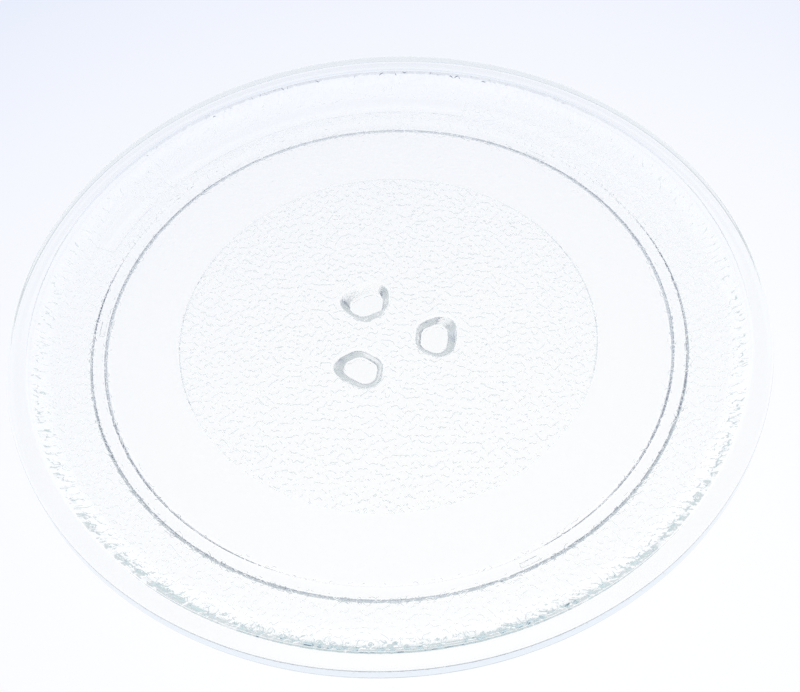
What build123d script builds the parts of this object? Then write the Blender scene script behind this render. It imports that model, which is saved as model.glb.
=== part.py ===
from build123d import *
import os
from math import cos, radians, sin, tan

# Microwave turntable plate: one piece of clear pressed glass with three drive lugs under it.
# The origin is on the plate's axis, in the plane of the lug feet, with +Z up and one lug on +X.
# All lengths are in millimetres and all angles in degrees.

# Plate body
plate_diameter = 245.0
floor_thickness = 4.5
rim_rise = 6.0

# Top of the rim, from its outer edge inwards
lip_width = 6.2
lip_fall = 1.4
lip_step_height = 0.3
lip_step_width = 0.25
cove_width = 15.5

# Underside of the rim
rim_depth = 5.6
rim_top_round = 1.2
rim_bottom_round = 0.5
wall_slope = 39.0
wall_top_round = 1.4
wall_foot_round = 13.0

# Underside of the plate, from the rim's wall inwards: outer field, guide bead, roller track
outer_field_width = 13.1
bead_height = 1.6
bead_flat_width = 3.5
bead_inner_slope = 56.0
bead_outer_slope = 54.0
bead_root_round = 1.5
bead_edge_round = 1.5
track_width = 23.4

# Sunk pattern field in the middle of the underside
pattern_recess = 0.25
pattern_wall_width = 0.3

# Small stacking pads on the guide bead
pad_count = 3
pad_length = 7.0
pad_width = 1.6
pad_height = 0.35
pad_angle = 60.0

# Drive lugs that the coupler turns
lug_count = 3
lug_height = 4.7
lug_root_inner_radius = 9.8
lug_root_outer_radius = 22.5
lug_half_angle = 26.5
lug_root_corner_round = 4.6
lug_foot_corner_round = 3.6
lug_inner_draft = 9.0
lug_outer_draft = 30.0
lug_flank_draft = 17.5
lug_root_fillet = 1.4
lug_foot_round = 0.9

# Levels and radii worked out from the sizes above
plate_radius = plate_diameter / 2
track_z = lug_height
pattern_z = track_z + pattern_recess
floor_z = track_z + floor_thickness
lip_outer_z = floor_z + rim_rise
lip_inner_z = lip_outer_z - lip_fall
rim_under_z = lip_outer_z - rim_depth
bead_z = track_z - bead_height
lip_inner_radius = plate_radius - lip_width
cove_end_radius = lip_inner_radius - lip_step_width
cove_end_z = lip_inner_z - lip_step_height
cove_start_radius = cove_end_radius - cove_width
wall_foot_radius = lip_inner_radius - (rim_under_z - track_z) / tan(radians(wall_slope))
bead_end_radius = wall_foot_radius - outer_field_width
bead_outer_radius = bead_end_radius - bead_height / tan(radians(bead_outer_slope))
bead_inner_radius = bead_outer_radius - bead_flat_width
track_outer_radius = bead_inner_radius - bead_height / tan(radians(bead_inner_slope))
pattern_radius = track_outer_radius - track_width


def near(sketch, *points):
    """The sketch's corners that lie at the given points."""
    return [sketch.vertices().sort_by_distance((x, y, 0))[0] for x, y in points]


def lug_outline(plane, depth, corner_round):
    """Outline of a lug at a depth below its root, drawn in by each wall's draft."""
    inner = lug_root_inner_radius + depth * tan(radians(lug_inner_draft))
    outer = lug_root_outer_radius - depth * tan(radians(lug_outer_draft))
    flank_inset = depth * tan(radians(lug_flank_draft))
    turn = radians(lug_half_angle)
    # A flank runs along a ray from the axis, moved in by flank_inset
    inner_half = inner * tan(turn) - flank_inset / cos(turn)
    along = (outer**2 - flank_inset**2) ** 0.5
    outer_x = along * cos(turn) + flank_inset * sin(turn)
    outer_y = along * sin(turn) - flank_inset * cos(turn)
    with BuildSketch(plane) as outline:
        with BuildLine():
            inner_edge = Line((inner, -inner_half), (inner, inner_half))
            flank = Line(inner_edge @ 1, (outer_x, outer_y))
            outer_edge = ThreePointArc(flank @ 1, (outer, 0), (outer_x, -outer_y))
            Line(outer_edge @ 1, inner_edge @ 0)
        make_face()
        fillet(outline.vertices(), corner_round)
    return outline.sketch


with BuildPart() as glass_plate:
    # Section of the plate on one side of its axis
    with BuildSketch(Plane.XZ) as section:
        with BuildLine():
            floor = Line((0, floor_z), (cove_start_radius, floor_z))
            cove = TangentArc(floor @ 1, (cove_end_radius, cove_end_z), tangent=floor % 1)
            Polyline(
                cove @ 1,
                (lip_inner_radius, lip_inner_z),
                (plate_radius, lip_outer_z),
                (plate_radius, rim_under_z),
                (lip_inner_radius, rim_under_z),
                (wall_foot_radius, track_z),
                (bead_end_radius, track_z),
                (bead_outer_radius, bead_z),
                (bead_inner_radius, bead_z),
                (track_outer_radius, track_z),
                (pattern_radius, track_z),
                (pattern_radius - pattern_wall_width, pattern_z),
                (0, pattern_z),
                floor @ 0,
            )
        make_face()
        fillet(near(section, (plate_radius, lip_outer_z)), rim_top_round)
        fillet(near(section, (plate_radius, rim_under_z)), rim_bottom_round)
        fillet(near(section, (lip_inner_radius, rim_under_z)), wall_top_round)
        fillet(near(section, (wall_foot_radius, track_z)), wall_foot_round)
        fillet(
            near(section, (track_outer_radius, track_z), (bead_end_radius, track_z)),
            bead_root_round,
        )
        fillet(
            near(section, (bead_inner_radius, bead_z), (bead_outer_radius, bead_z)),
            bead_edge_round,
        )
    revolve(axis=Axis.Z)

    # Stacking pads on the flat of the bead
    with BuildSketch(Plane.XY.offset(bead_z)):
        with PolarLocations((bead_inner_radius + bead_outer_radius) / 2, pad_count, start_angle=pad_angle):
            SlotOverall(pad_length, pad_width, rotation=90)
    extrude(amount=-pad_height)

    # Drive lugs, drafted from their roots to their feet
    for index in range(lug_count):
        turned = Plane.XY.rotated((0, 0, index * 360 / lug_count))
        root = lug_outline(turned.offset(pattern_z), 0, lug_root_corner_round)
        foot = lug_outline(turned, pattern_z, lug_foot_corner_round)
        loft(sections=[root, foot])
    feet = glass_plate.faces().sort_by(Axis.Z)[:lug_count]
    fillet(feet.edges(), lug_foot_round)
    # Of the edges at the level of the roots, the longest is the rim of the pattern field
    root_edges = glass_plate.edges().filter_by_position(Axis.Z, pattern_z, pattern_z)
    lug_roots = root_edges.sort_by(SortBy.LENGTH)[:-1]
    fillet(lug_roots, lug_root_fillet)

glass_plate.part.label = "glass_plate"

os.makedirs("parts", exist_ok=True)
export_step(glass_plate.part, "parts/glass_plate.step")
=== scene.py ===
import math

import bmesh
import bpy
from bpy.props import FloatProperty, FloatVectorProperty, IntProperty, PointerProperty
from bpy.types import Operator, Panel, PropertyGroup
from mathutils import Matrix, Vector


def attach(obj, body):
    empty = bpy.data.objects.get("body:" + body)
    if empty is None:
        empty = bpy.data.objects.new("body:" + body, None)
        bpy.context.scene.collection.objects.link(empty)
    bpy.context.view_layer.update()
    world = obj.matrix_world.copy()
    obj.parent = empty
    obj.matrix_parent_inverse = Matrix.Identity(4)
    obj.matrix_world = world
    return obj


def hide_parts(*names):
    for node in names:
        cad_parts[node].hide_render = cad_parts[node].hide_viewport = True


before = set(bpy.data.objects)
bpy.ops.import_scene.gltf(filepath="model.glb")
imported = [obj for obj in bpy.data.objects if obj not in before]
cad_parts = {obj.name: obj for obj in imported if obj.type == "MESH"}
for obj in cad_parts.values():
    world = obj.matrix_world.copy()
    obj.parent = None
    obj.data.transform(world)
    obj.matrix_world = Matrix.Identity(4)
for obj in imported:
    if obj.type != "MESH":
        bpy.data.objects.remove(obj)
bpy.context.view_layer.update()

bl_info = {
    "name": "Turntable Plate",
    "version": (1, 0, 0),
    "blender": (4, 5, 0),
    "location": "View3D > Sidebar > Plate",
    "description": "Pressed glass turntable plate on a pale studio floor",
    "category": "Add Mesh",
}

MM = 0.001
GUARD = 0.06 * MM  # a ring this near to a bend keeps the flat beside it flat in the shading
SAME_LEVEL = 1e-9  # heights this near to each other are one level
SAME_TURN = 1e-4  # and so are angles, in radians
COVE_SHARE = 0.985  # the cove's round is this much of its arc, and ends just short of the lip's step
PAD_STEPS = 12  # steps of the lathe at each end of a pad
LUG_ARC_STEPS = 9  # faces on half of a lug's outer side
LUG_CORNER_STEPS = 12  # faces round each corner of a lug
LUG_BEND_STEPS = 15  # faces down a lug's root fillet, and down the round at its foot
LUG_WALL_STEPS = 5  # faces down the drafted wall between them
FIELD_EDGE = (-0.25 * MM, 0.1 * MM)  # from just inside a bare field's outline to just outside it
# These six place the painted glow on the rim's outer face.
RIM_ROUND = (121.9 * MM, 122.0 * MM)  # radii between which the rim's underside turns to its lower round
RIM_FACE = (122.4 * MM, 122.45 * MM)  # and between which that round turns to the upright outer face
SQUARE_VIEW = (0.55, 0.8)  # Layer Weight's facing, from a square view of the outer face to a slanting one
SLANT_ON_ROUND = (0.25, 0.3)  # where a slanting view sets in on the lower round
SLANT_ON_FACE = (0.7, 0.85)  # and on the outer face
FIRST_BOUNCE = 1.5  # Ray Depth is below this where light from the glass's top first meets another face
FLOOR_HALF = 3.0  # half the floor's width, in metres
SENSOR_WIDTH = 36  # of the camera, in millimetres


def length(name, description, millimetres):
    """A length property, written in millimetres and kept in metres."""
    return FloatProperty(
        name=name, description=description, default=millimetres * MM, unit="LENGTH", precision=5
    )


def angle(name, description, degrees):
    """An angle property, written in degrees and kept in radians."""
    return FloatProperty(
        name=name, description=description, default=math.radians(degrees), subtype="ANGLE"
    )


def colour(name, description, red, green, blue):
    """A colour property, in linear values."""
    return FloatVectorProperty(
        name=name, description=description, default=(red, green, blue), subtype="COLOR", min=0, max=1
    )


def number(name, description, default):
    """A plain number property."""
    return FloatProperty(name=name, description=description, default=default, precision=4)


class PlateSizes(PropertyGroup):
    """Sizes of the pressed glass plate."""

    plate_diameter: length("Diameter", "Across the rim", 245.0)
    floor_thickness: length("Floor thickness", "From the roller track to the floor's top", 4.5)
    rim_rise: length("Rim rise", "Of the rim's outer edge above the floor", 6.0)
    lip_width: length("Lip width", "Of the flat lip on top of the rim", 6.2)
    lip_fall: length("Lip fall", "Of the lip, from its outer to its inner edge", 1.4)
    lip_step_height: length("Lip step height", "Of the small step at the lip's inner edge", 0.3)
    lip_step_width: length("Lip step width", "Of the small step at the lip's inner edge", 0.25)
    lip_edge_round: length("Lip edge round", "At the top and the foot of the lip's step", 0.12)
    cove_width: length("Cove width", "Of the hollow curve from the floor to the lip", 15.5)
    rim_depth: length("Rim depth", "Height of the rim's outer face", 5.6)
    rim_top_round: length("Rim top round", "Along the rim's upper edge", 1.2)
    rim_bottom_round: length("Rim bottom round", "Along the rim's lower edge", 0.5)
    wall_slope: angle("Wall slope", "Of the wall under the cove", 39.0)
    wall_top_round: length("Wall top round", "Where the wall meets the rim's underside", 1.4)
    wall_foot_round: length("Wall foot round", "Where the wall meets the outer field", 13.0)
    outer_field_width: length("Outer field width", "From the wall's foot to the guide bead", 13.1)
    rim_bare_width: length("Rim bare width", "Of the smooth band along the rim's underside", 6.35)
    relief_fade: length("Relief fade", "Width on which the relief runs out beside that band", 1.5)
    relief_inset: length("Relief inset", "Of the relief's inner edge from the bead's outer edge", 0.5)
    bead_height: length("Bead height", "Of the guide bead below the track", 1.6)
    bead_flat_width: length("Bead flat width", "Of the guide bead's flat", 3.5)
    bead_inner_slope: angle("Bead inner slope", "Of the flank that guides the wheels", 56.0)
    bead_outer_slope: angle("Bead outer slope", "Of the bead's outer flank", 54.0)
    bead_round: length("Bead round", "At the bead's roots and edges", 1.5)
    track_width: length("Track width", "Of the smooth track for the wheels", 23.4)
    pattern_recess: length("Pattern recess", "Depth of the sunk field in the middle", 0.25)
    pattern_wall_width: length("Pattern wall width", "Of the small wall round that field", 0.3)
    pattern_edge_round: length("Pattern edge round", "At the edges of that wall", 0.1)
    pad_count: IntProperty(name="Pads", description="Stacking pads on the bead", default=3, min=1)
    pad_length: length("Pad length", "Along the bead", 7.0)
    pad_width: length("Pad width", "Across the bead", 1.6)
    pad_height: length("Pad height", "Below the bead's flat", 0.35)
    pad_edge: length("Pad edge", "Width of the pad's sloping edge", 0.2)
    pad_angle: angle("Pad angle", "Of the first pad, from the first lug", 60.0)
    lug_count: IntProperty(name="Lugs", description="Drive lugs", default=3, min=1)
    lug_height: length("Lug height", "Of the lugs below the track", 4.7)
    lug_root_inner_radius: length("Lug inner radius", "Of the root's inner face", 9.8)
    lug_root_outer_radius: length("Lug outer radius", "Of the root's outer face", 22.5)
    lug_half_angle: angle("Lug half angle", "From a lug's middle to its flank", 26.5)
    lug_root_corner_round: length("Lug root corners", "Round of the corners at the root", 4.6)
    lug_foot_corner_round: length("Lug foot corners", "Round of the corners at the foot", 3.6)
    lug_inner_draft: angle("Lug inner draft", "Of the inner face", 9.0)
    lug_outer_draft: angle("Lug outer draft", "Of the outer face", 30.0)
    lug_flank_draft: angle("Lug flank draft", "Of the two flanks", 17.5)
    lug_root_fillet: length("Lug root fillet", "Fillet between a lug's walls and the plate", 1.4)
    lug_foot_round: length("Lug foot round", "Round between a lug's walls and its foot", 0.9)
    hub_radius: length("Hub radius", "Of the underside's middle that holds the lugs", 30.0)
    clearance: length("Clearance", "From the plain solid's outer face in to the dressed plate", 0.04)
    top_clearance: length("Top clearance", "From the plain solid's top down to the dressed plate", 0.004)
    steps_round: IntProperty(name="Steps round", description="Faces round the plate", default=480, min=48)
    steps_bend: angle("Steps on a bend", "Turn of one face on a rounded edge", 9.0)


class GlassFinish(PropertyGroup):
    """Colour, pressed relief and painted glow tones of the glass."""

    tint: colour("Tint", "Colour of a thin sheet of the glass", 0.998, 1.0, 1.0)
    depth_tint: colour("Depth tint", "Colour of light after a long way in the glass", 0.50, 0.75, 0.76)
    depth_density: number("Depth density", "How fast that colour builds up, per metre", 3.0)
    # Painted light: past the last bounce the glass glows with painted tones, grey in the middle and paler
    # near the rim, in place of the light it would pass on.
    last_bounce: number("Last bounce", "Light leaves the glass after this many turns in it", 4.5)
    painted_caught_tone: colour("Caught tone", "Light that leaves after many reflections", 0.70, 0.73, 0.75)
    painted_rim_tone: colour("Rim caught tone", "The same, near the rim", 0.94, 0.96, 0.98)
    painted_rim_tone_start: length("Rim caught start", "Radius at which the rim's tone sets in", 106.0)
    painted_rim_tone_full: length("Rim caught full", "Radius from which it is alone", 111.0)
    # Painted light: the rim's outer face, seen from inside, glows with this tone in this share.
    painted_edge_tone: colour("Edge tone", "Light that runs round in the rim", 0.55, 0.64, 0.71)
    painted_edge_share: number("Edge share", "Of that light in the rim's outer face, seen from inside", 0.24)
    refraction: number("Refraction", "Index of refraction of soda-lime glass", 1.5)
    lug_frost: number("Lug frost", "Roughness of the lugs' drafted walls", 0.18)
    grain_size: length("Grain size", "Of the mottled grain on the lugs' walls", 0.8)
    grain_depth: length("Grain depth", "Of that grain", 0.08)
    wrinkle_size: length("Wrinkle size", "Distance between wrinkles of the relief", 1.8)
    bend_size: length("Bend size", "Distance between the small bends of a wrinkle", 2.2)
    bend_reach: length("Bend reach", "How far these bends move a wrinkle", 0.9)
    middle_wrinkle_depth: length("Middle wrinkle depth", "Depth of the wrinkles in the middle field", 0.125)
    middle_wrinkle_width: number("Middle wrinkle width", "How wide a wrinkle's slope is there", 0.066)
    wrinkle_depth: length("Wrinkle depth", "Depth of the wrinkles in the outer field", 0.085)
    wrinkle_width: number("Wrinkle width", "How wide a wrinkle's slope is there", 0.045)
    rim_wrinkle_depth: length("Rim wrinkle depth", "Depth of the radial wrinkles under the rim", 0.2)
    rim_wrinkle_width: number("Rim wrinkle width", "How wide a wrinkle's slope is there", 0.09)
    rim_wrinkle_size: length("Rim wrinkle size", "Distance between these wrinkles", 1.714286)
    rim_wrinkle_radius: length("Rim wrinkle radius", "Where they are that far apart", 117.0)
    rim_wrinkle_stretch: number("Rim wrinkle stretch", "Turns of these wrinkles along the radius", 0.65)
    rim_wrinkle_start: length("Rim wrinkle start", "Radius at which the radial wrinkles set in", 109.5)
    rim_wrinkle_full: length("Rim wrinkle full", "Radius from which they are alone", 112.5)
    field_step: length("Bare field step", "Height of the smooth fields over the relief", -0.12)
    field_inner_radius: length("Bare field inner radius", "Of the smooth fields in the relief", 101.0)
    field_outer_radius: length("Bare field outer radius", "Of the smooth fields in the relief", 108.4)
    long_field_start: angle("Long field start", "Of the longer smooth field", 78.3)
    long_field_end: angle("Long field end", "Of the longer smooth field", 142.1)
    short_field_start: angle("Short field start", "Of the shorter smooth field", 148.6)
    short_field_end: angle("Short field end", "Of the shorter smooth field", 161.6)


class StudioSettings(PropertyGroup):
    """Floor, light and camera."""

    # Painted light: the floor's tone is bright round a spot near the plate's middle, on the camera's side,
    # and turns dimmer and bluer away from it.
    painted_lit_floor: colour("Near floor colour", "Of the pale floor on the camera's side", 1.0, 1.0, 1.0)
    painted_dim_floor: colour("Far floor colour", "Of the pale floor beyond the plate", 0.79, 0.83, 0.955)
    floor_matt: colour("Matt floor colour", "Of the floor's matt face, which takes the shadow", 0.1, 0.1, 0.1)
    painted_light_x: length("Near floor X", "Middle of the floor's near colour", 25.0)
    painted_light_y: length("Near floor Y", "Middle of the floor's near colour", -75.0)
    painted_light_falloff: number("Floor change", "To the far colour, for each square metre of distance", 10.0)
    floor_shown: number("Floor shown", "Strength of the floor's colour to the camera", 0.965)
    floor_through: number("Floor through", "Its strength in and through the glass", 1.01)
    air_gap: length("Air gap", "Between the lugs' feet and the floor", 0.05)
    light_top: colour("Top light colour", "Of the soft light overhead", 0.75, 0.79, 0.86)
    light_high: colour("High light colour", "Of the dimmer light round it", 0.16, 0.19, 0.26)
    light_low: colour("Low light colour", "Of the soft light near the floor", 0.84, 0.89, 0.97)
    low_light_end: number("Low light end", "Height at which the low light starts to fade, 1 overhead", 0.52)
    high_light_start: number("High light start", "Height from which the dimmer light is alone", 0.66)
    high_light_end: number("High light end", "Height at which the dimmer light starts to fade", 0.93)
    top_light_start: number("Top light start", "Height from which the top light is alone", 0.98)
    camera_aim: length("Camera aim", "Height of the point that the camera turns round", 6.0)
    camera_azimuth: angle("Camera azimuth", "Round the plate from the first lug's side", 7.4)
    camera_elevation: angle("Camera elevation", "Above the floor", 52.72)
    camera_roll: angle("Camera roll", "About its line of sight", -4.6)
    camera_distance: number("Camera distance", "From the plate's middle, in metres", 0.5145)
    camera_lens: number("Focal length", "For a 36 mm wide sensor, in millimetres", 71.09)
    camera_shift_x: number("Shift X", "Of the frame, as a share of its width", 0.0157)
    camera_shift_y: number("Shift Y", "Of the frame, as a share of its width", -0.0141)


class Wire:
    """An output socket of a node tree. Arithmetic on wires adds Math nodes to the tree."""

    def __init__(self, tree, socket=None):
        self.tree = tree
        self.socket = socket

    def add(self, kind, settings=None, sockets=None, output=0):
        """Add any node: its settings first, then the values or wires of its sockets."""
        node = self.tree.nodes.new(kind)
        for name, value in (settings or {}).items():
            setattr(node, name, value)
        for name, value in (sockets or {}).items():
            if isinstance(value, Wire):
                self.tree.links.new(value.socket, node.inputs[name])
            else:
                node.inputs[name].default_value = value
        return Wire(self.tree, node.outputs[output] if node.outputs else None)

    def out(self, name):
        """Another output of the node that this wire leaves."""
        return Wire(self.tree, self.socket.node.outputs[name])

    def maths(self, operation, *values):
        return self.add("ShaderNodeMath", {"operation": operation}, dict(enumerate(values)))

    def __add__(self, other):
        return self.maths("ADD", self, other)

    def __radd__(self, other):
        return self.maths("ADD", other, self)

    def __sub__(self, other):
        return self.maths("SUBTRACT", self, other)

    def __rsub__(self, other):
        return self.maths("SUBTRACT", other, self)

    def __mul__(self, other):
        return self.maths("MULTIPLY", self, other)

    def __rmul__(self, other):
        return self.maths("MULTIPLY", other, self)

    def __truediv__(self, other):
        return self.maths("DIVIDE", self, other)

    def __rtruediv__(self, other):
        return self.maths("DIVIDE", other, self)

    def __pow__(self, other):
        return self.maths("POWER", self, other)

    def __abs__(self):
        return self.maths("ABSOLUTE", self)

    def ramp(self, low, high):
        """0 below low, 1 above high and a smooth change between."""
        return self.add(
            "ShaderNodeMapRange",
            {"interpolation_type": "SMOOTHSTEP", "clamp": True},
            {"Value": self, "From Min": low, "From Max": high, "To Min": 0.0, "To Max": 1.0},
        )


def levels(sizes):
    """Heights and radii that follow from the plate's sizes."""
    z = {"track": sizes.lug_height}
    z["pattern"] = z["track"] + sizes.pattern_recess
    z["floor"] = z["track"] + sizes.floor_thickness
    z["lip_outer"] = z["floor"] + sizes.rim_rise - sizes.top_clearance
    z["lip_inner"] = z["lip_outer"] - sizes.lip_fall
    z["cove_end"] = z["lip_inner"] - sizes.lip_step_height
    z["rim_under"] = z["lip_outer"] - sizes.rim_depth
    z["bead"] = z["track"] - sizes.bead_height
    r = {"plate": sizes.plate_diameter / 2 - sizes.clearance}
    r["lip_inner"] = r["plate"] - sizes.lip_width
    r["cove_end"] = r["lip_inner"] - sizes.lip_step_width
    r["wall_foot"] = r["lip_inner"] - (z["rim_under"] - z["track"]) / math.tan(sizes.wall_slope)
    r["bead_end"] = r["wall_foot"] - sizes.outer_field_width
    r["bead_outer"] = r["bead_end"] - sizes.bead_height / math.tan(sizes.bead_outer_slope)
    r["bead_inner"] = r["bead_outer"] - sizes.bead_flat_width
    r["bead_middle"] = (r["bead_inner"] + r["bead_outer"]) / 2
    r["track_outer"] = r["bead_inner"] - sizes.bead_height / math.tan(sizes.bead_inner_slope)
    r["pattern"] = r["track_outer"] - sizes.track_width
    r["relief_end"] = r["plate"] - sizes.rim_bare_width
    return z, r


def rounded_chain(corners, step):
    """Points along straight runs between corners (r, z, round), with a guard beside each bend."""
    spots = [Vector(corner[:2]) for corner in corners]
    bends = []
    for index in range(1, len(corners) - 1):
        spot, radius = spots[index], corners[index][2]
        back = (spots[index - 1] - spot).normalized()
        on = (spots[index + 1] - spot).normalized()
        half = back.angle(on) / 2
        bends.append((spot, radius, back, on, half, radius / math.tan(half)))
    points = [spots[0]]
    for spot, radius, back, on, half, tangent in bends:
        start, end = spot + back * tangent, spot + on * tangent
        room = (start - points[-1]).length
        points.append(start + back * min(GUARD, room / 3))
        centre = spot + (back + on).normalized() * (radius / math.sin(half))
        sweep = math.pi - 2 * half
        count = max(2, round(sweep / step))
        arm = start - centre
        side = 1 if arm.x * (end - centre).y - arm.y * (end - centre).x > 0 else -1
        for part in range(count + 1):
            turn = side * sweep * part / count
            cos, sin = math.cos(turn), math.sin(turn)
            points.append(centre + Vector((arm.x * cos - arm.y * sin, arm.x * sin + arm.y * cos)))
        points.append(end + on * min(GUARD, 0.1 * (spots[-1] - end).length))
    points.append(spots[-1])
    return points


def plate_section(sizes, z, r):
    """The plate's section from the middle of the floor, round the rim, to the hub's edge below."""
    rise = z["cove_end"] - z["floor"]
    cove_radius = (sizes.cove_width**2 + rise**2) / (2 * rise)
    cove_half = math.atan2(rise, sizes.cove_width)
    cove_corner = r["cove_end"] - sizes.cove_width + cove_radius * math.tan(cove_half)
    corners = [
        (0.0, z["floor"], 0),
        (cove_corner, z["floor"], cove_radius * COVE_SHARE),
        (r["cove_end"], z["cove_end"], sizes.lip_edge_round),
        (r["lip_inner"], z["lip_inner"], sizes.lip_edge_round),
        (r["plate"], z["lip_outer"], sizes.rim_top_round),
        (r["plate"], z["rim_under"], sizes.rim_bottom_round),
        (r["lip_inner"], z["rim_under"], sizes.wall_top_round),
        (r["wall_foot"], z["track"], sizes.wall_foot_round),
        (r["bead_end"], z["track"], sizes.bead_round),
        (r["bead_outer"], z["bead"], sizes.bead_round),
        (r["bead_inner"], z["bead"], sizes.bead_round),
        (r["track_outer"], z["track"], sizes.bead_round),
        (r["pattern"], z["track"], sizes.pattern_edge_round),
        (r["pattern"] - sizes.pattern_wall_width, z["pattern"], sizes.pattern_edge_round),
        (sizes.hub_radius, z["pattern"], 0),
    ]
    points = rounded_chain(corners, sizes.steps_bend)
    # More rings carry the edges of the pads, at shares of half the edge's width
    half, edge = sizes.pad_width / 2, sizes.pad_edge / 2
    shares = (-1.4, -1, -0.5, 0, 0.5, 1, 1.4)
    rings = [half + share * edge for share in shares] + [-half - share * edge for share in shares]
    return cut_rings(points, z["bead"], [r["bead_middle"] + ring for ring in rings])


def cut_rings(points, height, radii):
    """Add points at the given radii to the section's level run at a height."""
    level = [index for index, spot in enumerate(points) if abs(spot.y - height) < SAME_LEVEL]
    first, last = level[0], level[-1]
    run = points[first : last + 1]
    run += [Vector((radius, height)) for radius in radii if run[-1].x < radius < run[0].x]
    return points[:first] + sorted(run, key=lambda spot: -spot.x) + points[last + 1 :]


def pad_share(sizes, r, radius, turn):
    """How far a point of the bead's flat is lowered to a pad, from 0 to 1."""
    spacing = 2 * math.pi / sizes.pad_count
    off = (turn - sizes.pad_angle + spacing / 2) % spacing - spacing / 2
    along = max(abs(off) * r["bead_middle"] - (sizes.pad_length - sizes.pad_width) / 2, 0)
    outside = math.hypot(along, radius - r["bead_middle"]) - sizes.pad_width / 2
    share = min(max(0.5 - outside / sizes.pad_edge, 0), 1)
    return share * share * (3 - 2 * share)


def turns_round(sizes, r):
    """The angles of the lathe's steps: even, and closer at the ends of the pads."""
    turns = [2 * math.pi * step / sizes.steps_round for step in range(sizes.steps_round)]
    half, cap = sizes.pad_length / 2, sizes.pad_width / 2
    for pad in range(sizes.pad_count):
        middle = sizes.pad_angle + 2 * math.pi * pad / sizes.pad_count
        for side in (-1, 1):
            for step in range(PAD_STEPS):
                along = half - cap + (cap + sizes.pad_edge) * step / (PAD_STEPS - 1)
                turns.append((middle + side * along / r["bead_middle"]) % (2 * math.pi))
    turns.sort()
    kept = [turns[0]]
    for turn in turns[1:]:
        if turn - kept[-1] > SAME_TURN:
            kept.append(turn)
    return kept


def relief_share(sizes, r, radius, below):
    """Where the pressed relief lies: 1 on the patterned fields, 0 on the smooth glass."""
    if not below:
        return 0.0
    if radius < r["pattern"] - sizes.pattern_wall_width - GUARD:
        return 1.0
    if radius < r["bead_outer"] - sizes.relief_inset:
        return 0.0
    return min(max((r["relief_end"] - radius) / sizes.relief_fade, 0.0), 1.0)


def wall_offset(sizes, height, depth, draft):
    """How far a lug's wall stands out from its root line at a depth, with the fillet and the round."""
    slope = math.pi / 2 - draft
    fillet, round_ = sizes.lug_root_fillet, sizes.lug_foot_round
    left = height - depth
    if depth < fillet * (1 - math.cos(slope)):
        return fillet * math.tan(slope / 2) - math.sqrt(depth * (2 * fillet - depth))
    if left < round_ * (1 - math.cos(slope)):
        foot = -height * math.tan(draft) - round_ * math.tan(slope / 2)
        return foot + math.sqrt(max(left * (2 * round_ - left), 0.0))
    return -depth * math.tan(draft)


def lug_ring(sizes, height, depth, spread):
    """A lug's outline at a depth below its root, widened by spread; the first lug lies on +X."""
    inner = sizes.lug_root_inner_radius
    inner -= wall_offset(sizes, height, depth, sizes.lug_inner_draft) + spread
    outer = sizes.lug_root_outer_radius
    outer += wall_offset(sizes, height, depth, sizes.lug_outer_draft) + spread
    inset = -wall_offset(sizes, height, depth, sizes.lug_flank_draft) - spread
    share = depth / height
    corner = sizes.lug_root_corner_round * (1 - share) + sizes.lug_foot_corner_round * share
    corner += depth * math.tan(sizes.lug_flank_draft) - inset
    half = sizes.lug_half_angle
    # Corner circles: one beside the inner face and one inside the outer arc, both against the flank
    inner_x = inner + corner
    inner_y = (inner_x * math.sin(half) - inset - corner) / math.cos(half)
    reach = math.sqrt((outer - corner) ** 2 - (inset + corner) ** 2)
    outer_x = reach * math.cos(half) + (inset + corner) * math.sin(half)
    outer_y = reach * math.sin(half) - (inset + corner) * math.cos(half)
    upper = []
    turn_out = math.atan2(outer_y, outer_x)
    for step in range(1, LUG_ARC_STEPS):
        turn = turn_out * step / LUG_ARC_STEPS
        upper.append((outer * math.cos(turn), outer * math.sin(turn)))
    flank = half + math.pi / 2
    for step in range(LUG_CORNER_STEPS + 1):
        turn = turn_out + (flank - turn_out) * step / LUG_CORNER_STEPS
        upper.append((outer_x + corner * math.cos(turn), outer_y + corner * math.sin(turn)))
    for step in range(LUG_CORNER_STEPS + 1):
        turn = flank + (math.pi - flank) * step / LUG_CORNER_STEPS
        upper.append((inner_x + corner * math.cos(turn), inner_y + corner * math.sin(turn)))
    lower = [(x, -y) for x, y in reversed(upper)]
    middle = [(inner, inner_y / 2), (inner, 0.0), (inner, -inner_y / 2)]
    return [(outer, 0.0)] + upper + middle + lower


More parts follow.
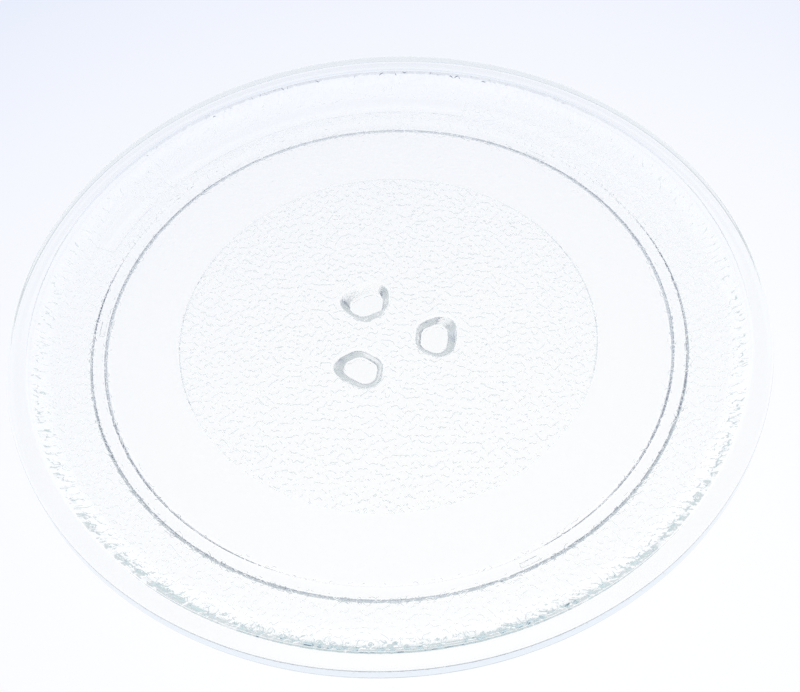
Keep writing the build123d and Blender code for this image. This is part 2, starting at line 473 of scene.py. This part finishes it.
def add_lugs(sizes, height, points, faces, relief, frost):
    """Add the shells of the drive lugs: root fillet, drafted wall, foot round and foot."""
    rows = [(0.0, GUARD)]
    for step in range(LUG_BEND_STEPS):
        turn = math.pi / 2 * step / LUG_BEND_STEPS
        rows.append((sizes.lug_root_fillet * (1 - math.cos(turn)), 0.0))
    straight = height - sizes.lug_root_fillet - sizes.lug_foot_round
    for step in range(1, LUG_WALL_STEPS):
        rows.append((sizes.lug_root_fillet + straight * step / LUG_WALL_STEPS, 0.0))
    for step in range(1, LUG_BEND_STEPS + 1):
        turn = math.pi / 2 * step / LUG_BEND_STEPS
        rows.append((height - sizes.lug_foot_round * (1 - math.sin(turn)), 0.0))
    rows.append((height, -GUARD))
    for lug in range(sizes.lug_count):
        turned = Matrix.Rotation(2 * math.pi * lug / sizes.lug_count, 2)
        last = None
        for row, (depth, spread) in enumerate(rows):
            ring = []
            for x, y in lug_ring(sizes, height, depth, spread):
                spot = turned @ Vector((x, y))
                ring.append(len(points))
                points.append((spot.x, spot.y, height - depth))
                relief.append(1.0 if row == 0 else 0.0)
                frost.append(1.0 if 1 < row < len(rows) - 2 else 0.0)
            if last:
                for a in range(len(ring)):
                    b = (a + 1) % len(ring)
                    faces.append((last[a], last[b], ring[b], ring[a]))
            last = ring
        middle = turned @ Vector(((sizes.lug_root_inner_radius + sizes.lug_root_outer_radius) / 2, 0))
        points.append((middle.x, middle.y, 0.0))
        relief.append(0.0)
        frost.append(0.0)
        for a in range(len(last)):
            faces.append((last[a], last[(a + 1) % len(last)], len(points) - 1))


def plate_mesh(sizes):
    """The whole plate as one closed mesh, with the shares of relief and of frost at each point."""
    z, r = levels(sizes)
    section = plate_section(sizes, z, r)
    turns = turns_round(sizes, r)
    points, faces, relief = [(0.0, 0.0, z["floor"])], [], [0.0]
    below = False
    last = None
    for spot in section[1:]:
        below = below or (spot.x < r["plate"] and spot.y < z["rim_under"] + sizes.rim_bottom_round / 2)
        on_flat = abs(spot.y - z["bead"]) < SAME_LEVEL
        share = relief_share(sizes, r, spot.x, below)
        ring = list(range(len(points), len(points) + len(turns)))
        for turn in turns:
            drop = sizes.pad_height * pad_share(sizes, r, spot.x, turn) if on_flat else 0.0
            points.append((spot.x * math.cos(turn), spot.x * math.sin(turn), spot.y - drop))
            relief.append(share)
        for a in range(len(ring)):
            b = (a + 1) % len(ring)
            if last is None:
                faces.append((0, ring[a], ring[b]))
            else:
                faces.append((last[a], ring[a], ring[b], last[b]))
        last = ring
    frost = [0.0] * len(points)
    add_lugs(sizes, z["pattern"], points, faces, relief, frost)
    mesh = bpy.data.meshes.new("glass_plate_pressed")
    mesh.from_pydata(points, [], faces)
    mesh.attributes.new("relief", "FLOAT", "POINT").data.foreach_set("value", relief)
    mesh.attributes.new("frost", "FLOAT", "POINT").data.foreach_set("value", frost)
    shape = bmesh.new()
    shape.from_mesh(mesh)
    hub = [edge for edge in shape.edges if edge.is_boundary]
    bmesh.ops.triangle_fill(shape, use_beauty=True, edges=hub)
    bmesh.ops.recalc_face_normals(shape, faces=shape.faces)
    for face in shape.faces:
        face.smooth = True
    if any(not edge.is_manifold for edge in shape.edges):
        raise RuntimeError("the plate's mesh isn't closed")
    shape.to_mesh(mesh)
    shape.free()
    return mesh


def bare_field(radius, turn, finish, start, end):
    """A shader's 1 inside a smooth field of the relief, and 0 outside it."""
    middle = (finish.field_inner_radius + finish.field_outer_radius) / 2
    across = abs(radius - middle) - (finish.field_outer_radius - finish.field_inner_radius) / 2
    along = (abs(turn - (start + end) / 2) - (end - start) / 2) * middle
    outside = across.maths("MAXIMUM", across, along)
    return 1.0 - outside.ramp(*FIELD_EDGE)


def wrinkle_height(wire, finish, between, place, x, y, radius):
    """Height of the pressed wrinkles: short bent ones on the fields, radial ones under the rim."""
    bend = wire.add(
        "ShaderNodeTexNoise",
        {"noise_dimensions": "2D"},
        {"Vector": place, "Scale": 1 / finish.bend_size, "Detail": 0.0},
        "Color",
    )
    bend = wire.add("ShaderNodeVectorMath", {"operation": "SUBTRACT"}, {0: bend, 1: (0.5, 0.5, 0.5)})
    bend = wire.add("ShaderNodeVectorMath", {"operation": "SCALE"}, {0: bend, "Scale": finish.bend_reach})
    bent = wire.add("ShaderNodeVectorMath", {"operation": "ADD"}, {0: place, 1: bend})
    field = wire.add(
        "ShaderNodeTexNoise",
        {"noise_dimensions": "2D"},
        {"Vector": bent, "Scale": 1 / finish.wrinkle_size, "Detail": 0.0},
    )
    wrinkles = field.ramp(0.5 - finish.wrinkle_width, 0.5 + finish.wrinkle_width)
    middle_wrinkles = field.ramp(0.5 - finish.middle_wrinkle_width, 0.5 + finish.middle_wrinkle_width)

    # Wound on a cylinder, the same kind of noise gives wrinkles that run along the radius
    round_x = x / radius * finish.rim_wrinkle_radius
    round_y = y / radius * finish.rim_wrinkle_radius
    along = radius * finish.rim_wrinkle_stretch
    rim_place = wire.add("ShaderNodeCombineXYZ", sockets={0: round_x, 1: round_y, 2: along})
    rim_bent = wire.add("ShaderNodeVectorMath", {"operation": "ADD"}, {0: rim_place, 1: bend})
    rim_field = wire.add(
        "ShaderNodeTexNoise",
        sockets={"Vector": rim_bent, "Scale": 1 / finish.rim_wrinkle_size, "Detail": 0.0},
    )
    rim_wrinkles = rim_field.ramp(0.5 - finish.rim_wrinkle_width, 0.5 + finish.rim_wrinkle_width)

    outer = radius.maths("GREATER_THAN", radius, between)
    near_rim = radius.ramp(finish.rim_wrinkle_start, finish.rim_wrinkle_full)
    height = middle_wrinkles * finish.middle_wrinkle_depth * (1.0 - outer)
    height = height + wrinkles * finish.wrinkle_depth * (outer - near_rim)
    return height + rim_wrinkles * finish.rim_wrinkle_depth * near_rim


def glow(wire, tone):
    """A shader that glows with an even painted tone, though the glass is no lamp."""
    return wire.add("ShaderNodeEmission", sockets={"Color": (*tone, 1.0), "Strength": 1.0})


def with_painted_edge_light(wire, finish, glass, radius, bounces):
    """Seen from inside, the rim's outer face glows with a painted tone that stands for the light running
    round in the rim.
    """
    inside = wire.add("ShaderNodeNewGeometry", output="Backfacing")
    first = bounces.maths("LESS_THAN", bounces, FIRST_BOUNCE)
    facing = wire.add("ShaderNodeLayerWeight", sockets={"Blend": 0.5}, output="Facing")
    upright = radius.ramp(*RIM_FACE)
    squarely = 1.0 - facing.ramp(*SQUARE_VIEW)
    low, high = [
        upright * (on_face - on_round) + on_round for on_round, on_face in zip(SLANT_ON_ROUND, SLANT_ON_FACE)
    ]
    aslant = facing.ramp(low, high)
    # painted glow: the dark edge tone where the face is seen squarely, the pale rim tone where it is seen
    # aslant
    edge = wire.add(
        "ShaderNodeMixShader",
        sockets={0: aslant, 1: glow(wire, finish.painted_edge_tone), 2: glow(wire, finish.painted_rim_tone)},
    )
    share = radius.ramp(*RIM_ROUND) * inside * first
    share = share * (upright * squarely * finish.painted_edge_share + aslant)
    return wire.add("ShaderNodeMixShader", sockets={0: share, 1: glass, 2: edge})


def with_painted_caught_light(wire, finish, glass, radius, bounces):
    """Where light is caught between the faces, the glass glows with an even painted tone in its place."""
    caught = bounces.maths("GREATER_THAN", bounces, finish.last_bounce)
    # painted glow: a grey tone, and a paler one near the rim
    near_rim = radius.ramp(finish.painted_rim_tone_start, finish.painted_rim_tone_full)
    tone = wire.add(
        "ShaderNodeMixShader",
        sockets={0: near_rim, 1: glow(wire, finish.painted_caught_tone), 2: glow(wire, finish.painted_rim_tone)},
    )
    return wire.add("ShaderNodeMixShader", sockets={0: caught, 1: glass, 2: tone})


def pressed_glass(finish, between):
    """Clear soda-lime glass with the relief of the mould; between is a radius on the smooth track."""
    material = bpy.data.materials.new("pressed_clear_glass")
    material.use_nodes = True
    material.cycles.emission_sampling = "NONE"  # its painted glow tones are seen, but light nothing else
    tree = material.node_tree
    tree.nodes.clear()
    wire = Wire(tree)
    place = wire.add("ShaderNodeTexCoord", output="Object")
    x = wire.add("ShaderNodeSeparateXYZ", sockets={0: place})
    y = x.out("Y")
    radius = (x * x + y * y) ** 0.5
    turn = x.maths("ARCTAN2", y, x)

    height = wrinkle_height(wire, finish, between, place, x, y, radius)
    bare = bare_field(radius, turn, finish, finish.long_field_start, finish.long_field_end)
    bare = bare + bare_field(radius, turn, finish, finish.short_field_start, finish.short_field_end)
    share = wire.add("ShaderNodeAttribute", {"attribute_name": "relief"}, output="Fac")
    height = (height * (1.0 - bare) + finish.field_step * bare) * share

    frost = wire.add("ShaderNodeAttribute", {"attribute_name": "frost"}, output="Fac")
    mottle = wire.add(
        "ShaderNodeTexNoise",
        sockets={"Vector": place, "Scale": 1 / finish.grain_size, "Detail": 1.0},
    )
    height = height + mottle * frost * finish.grain_depth
    relief = wire.add("ShaderNodeBump", sockets={"Strength": 1.0, "Distance": 1.0, "Height": height})
    glass = wire.add(
        "ShaderNodeBsdfPrincipled",
        sockets={
            "Base Color": (*finish.tint, 1.0),
            "Roughness": frost * finish.lug_frost,
            "IOR": finish.refraction,
            "Transmission Weight": 1.0,
            "Normal": relief,
        },
    )
    bounces = wire.add("ShaderNodeLightPath", output="Ray Depth")
    glass = with_painted_edge_light(wire, finish, glass, radius, bounces)
    glass = with_painted_caught_light(wire, finish, glass, radius, bounces)
    depth = wire.add(
        "ShaderNodeVolumeAbsorption",
        sockets={"Color": (*finish.depth_tint, 1.0), "Density": finish.depth_density},
    )
    wire.add("ShaderNodeOutputMaterial", sockets={"Surface": glass, "Volume": depth})
    return material


class PLATE_OT_glass(Operator):
    """Build the pressed glass plate in place of its plain solid"""

    bl_idname = "turntable.glass_plate"
    bl_label = "Glass plate"

    def execute(self, context):
        sizes, finish = context.scene.plate_sizes, context.scene.plate_finish
        mesh = plate_mesh(sizes)
        plate = bpy.data.objects.new("glass_plate_pressed", mesh)
        context.scene.collection.objects.link(plate)
        radii = levels(sizes)[1]
        mesh.materials.append(pressed_glass(finish, (radii["pattern"] + radii["track_outer"]) / 2))
        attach(plate, "root")
        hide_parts("glass_plate")
        return {"FINISHED"}


def floor_material(studio):
    """A pale matt floor that shows a tone to the camera and through the glass; the tone is a painted pool of
    light, bright round one spot and dimmer and bluer away from it.
    """
    material = bpy.data.materials.new("pale_floor")
    material.use_nodes = True
    material.cycles.emission_sampling = "NONE"  # its tones are seen, but light nothing else
    tree = material.node_tree
    tree.nodes.clear()
    wire = Wire(tree)
    path = wire.add("ShaderNodeLightPath", output="Is Camera Ray")
    through = path.maths("MAXIMUM", path.out("Is Glossy Ray"), path.out("Is Transmission Ray"))
    place = wire.add("ShaderNodeTexCoord", output="Object")
    x = wire.add("ShaderNodeSeparateXYZ", sockets={0: place})
    # painted pool of light: bright round that spot, dimmer and bluer farther away
    across, away = x - studio.painted_light_x, x.out("Y") - studio.painted_light_y
    change = (across * across + away * away) * studio.painted_light_falloff
    change = change.maths("MINIMUM", change, 1.0)
    tone = wire.add(
        "ShaderNodeMix",
        {"data_type": "RGBA"},
        {6: (*studio.painted_lit_floor, 1.0), 7: (*studio.painted_dim_floor, 1.0), 0: change},
        2,
    )
    matt = wire.add("ShaderNodeBsdfDiffuse", sockets={"Color": (*studio.floor_matt, 1.0)})
    strength = path * studio.floor_shown + through * studio.floor_through
    even = wire.add("ShaderNodeEmission", sockets={"Color": tone, "Strength": strength})
    floor = wire.add("ShaderNodeAddShader", sockets={0: matt, 1: even})
    wire.add("ShaderNodeOutputMaterial", sockets={"Surface": floor})
    return material


def soft_light(world, studio):
    """Soft light from all round: pale near the floor and overhead, and dimmer between."""
    tree = world.node_tree
    tree.nodes.clear()
    wire = Wire(tree)
    way = wire.add("ShaderNodeTexCoord", output="Generated")
    up = wire.add("ShaderNodeSeparateXYZ", sockets={0: way}, output="Z")
    to_high = up.ramp(studio.low_light_end, studio.high_light_start)
    to_top = up.ramp(studio.high_light_end, studio.top_light_start)
    tone = wire.add(
        "ShaderNodeMix",
        {"data_type": "RGBA"},
        {6: (*studio.light_low, 1.0), 7: (*studio.light_high, 1.0), 0: to_high},
        2,
    )
    tone = wire.add(
        "ShaderNodeMix",
        {"data_type": "RGBA"},
        {6: tone, 7: (*studio.light_top, 1.0), 0: to_top},
        2,
    )
    light = wire.add("ShaderNodeBackground", sockets={"Color": tone, "Strength": 1.0})
    wire.add("ShaderNodeOutputWorld", sockets={"Surface": light})


class PLATE_OT_studio(Operator):
    """Set up the pale floor, the soft light and the camera"""

    bl_idname = "turntable.studio"
    bl_label = "Studio"

    def execute(self, context):
        scene, studio = context.scene, context.scene.plate_studio
        mesh = bpy.data.meshes.new("pale_floor")
        # A hair of air stays under the feet, as under any glass that is set down
        half, low = FLOOR_HALF, -studio.air_gap
        mesh.from_pydata(
            [(-half, -half, low), (half, -half, low), (half, half, low), (-half, half, low)],
            [],
            [(0, 1, 2, 3)],
        )
        mesh.materials.append(floor_material(studio))
        floor = bpy.data.objects.new("pale_floor", mesh)
        scene.collection.objects.link(floor)

        world = bpy.data.worlds.new("soft_light")
        world.use_nodes = True
        soft_light(world, studio)
        scene.world = world

        azimuth, elevation, roll = studio.camera_azimuth, studio.camera_elevation, studio.camera_roll
        aim = Vector((0, 0, studio.camera_aim))
        right = Vector((math.cos(azimuth), math.sin(azimuth), 0))
        ahead = Vector((-math.sin(azimuth), math.cos(azimuth), 0))
        back = Vector((0, 0, math.sin(elevation))) - ahead * math.cos(elevation)
        up = right.cross(-back)
        level = right * math.cos(roll) + up * math.sin(roll)
        upright = up * math.cos(roll) - right * math.sin(roll)
        stand = Matrix((level, upright, back)).transposed().to_4x4()
        stand.translation = aim + back * studio.camera_distance
        lens = bpy.data.cameras.new("camera")
        lens.sensor_width = SENSOR_WIDTH
        lens.lens = studio.camera_lens
        lens.shift_x = studio.camera_shift_x
        lens.shift_y = studio.camera_shift_y
        camera = bpy.data.objects.new("camera", lens)
        camera.matrix_world = stand
        scene.collection.objects.link(camera)
        scene.camera = camera
        scene.view_settings.view_transform = "Standard"
        return {"FINISHED"}


class PLATE_PT_sidebar(Panel):
    """Lists the plate's operators and settings"""

    bl_idname = "PLATE_PT_sidebar"
    bl_label = "Turntable plate"
    bl_space_type = "VIEW_3D"
    bl_region_type = "UI"
    bl_category = "Plate"

    def draw(self, context):
        scene = context.scene
        for operator in OPERATORS:
            self.layout.operator(operator.bl_idname)
        for group in (scene.plate_sizes, scene.plate_finish, scene.plate_studio):
            box = self.layout.box()
            for name in group.__annotations__:
                box.prop(group, name)


OPERATORS = (PLATE_OT_glass, PLATE_OT_studio)
CLASSES = (PlateSizes, GlassFinish, StudioSettings, *OPERATORS, PLATE_PT_sidebar)


def register():
    for cls in CLASSES:
        bpy.utils.register_class(cls)
    bpy.types.Scene.plate_sizes = PointerProperty(type=PlateSizes)
    bpy.types.Scene.plate_finish = PointerProperty(type=GlassFinish)
    bpy.types.Scene.plate_studio = PointerProperty(type=StudioSettings)


def unregister():
    del bpy.types.Scene.plate_studio
    del bpy.types.Scene.plate_finish
    del bpy.types.Scene.plate_sizes
    for cls in reversed(CLASSES):
        bpy.utils.unregister_class(cls)


def main():
    register()
    bpy.ops.turntable.glass_plate()
    bpy.ops.turntable.studio()


if __name__ == "__main__":
    main()
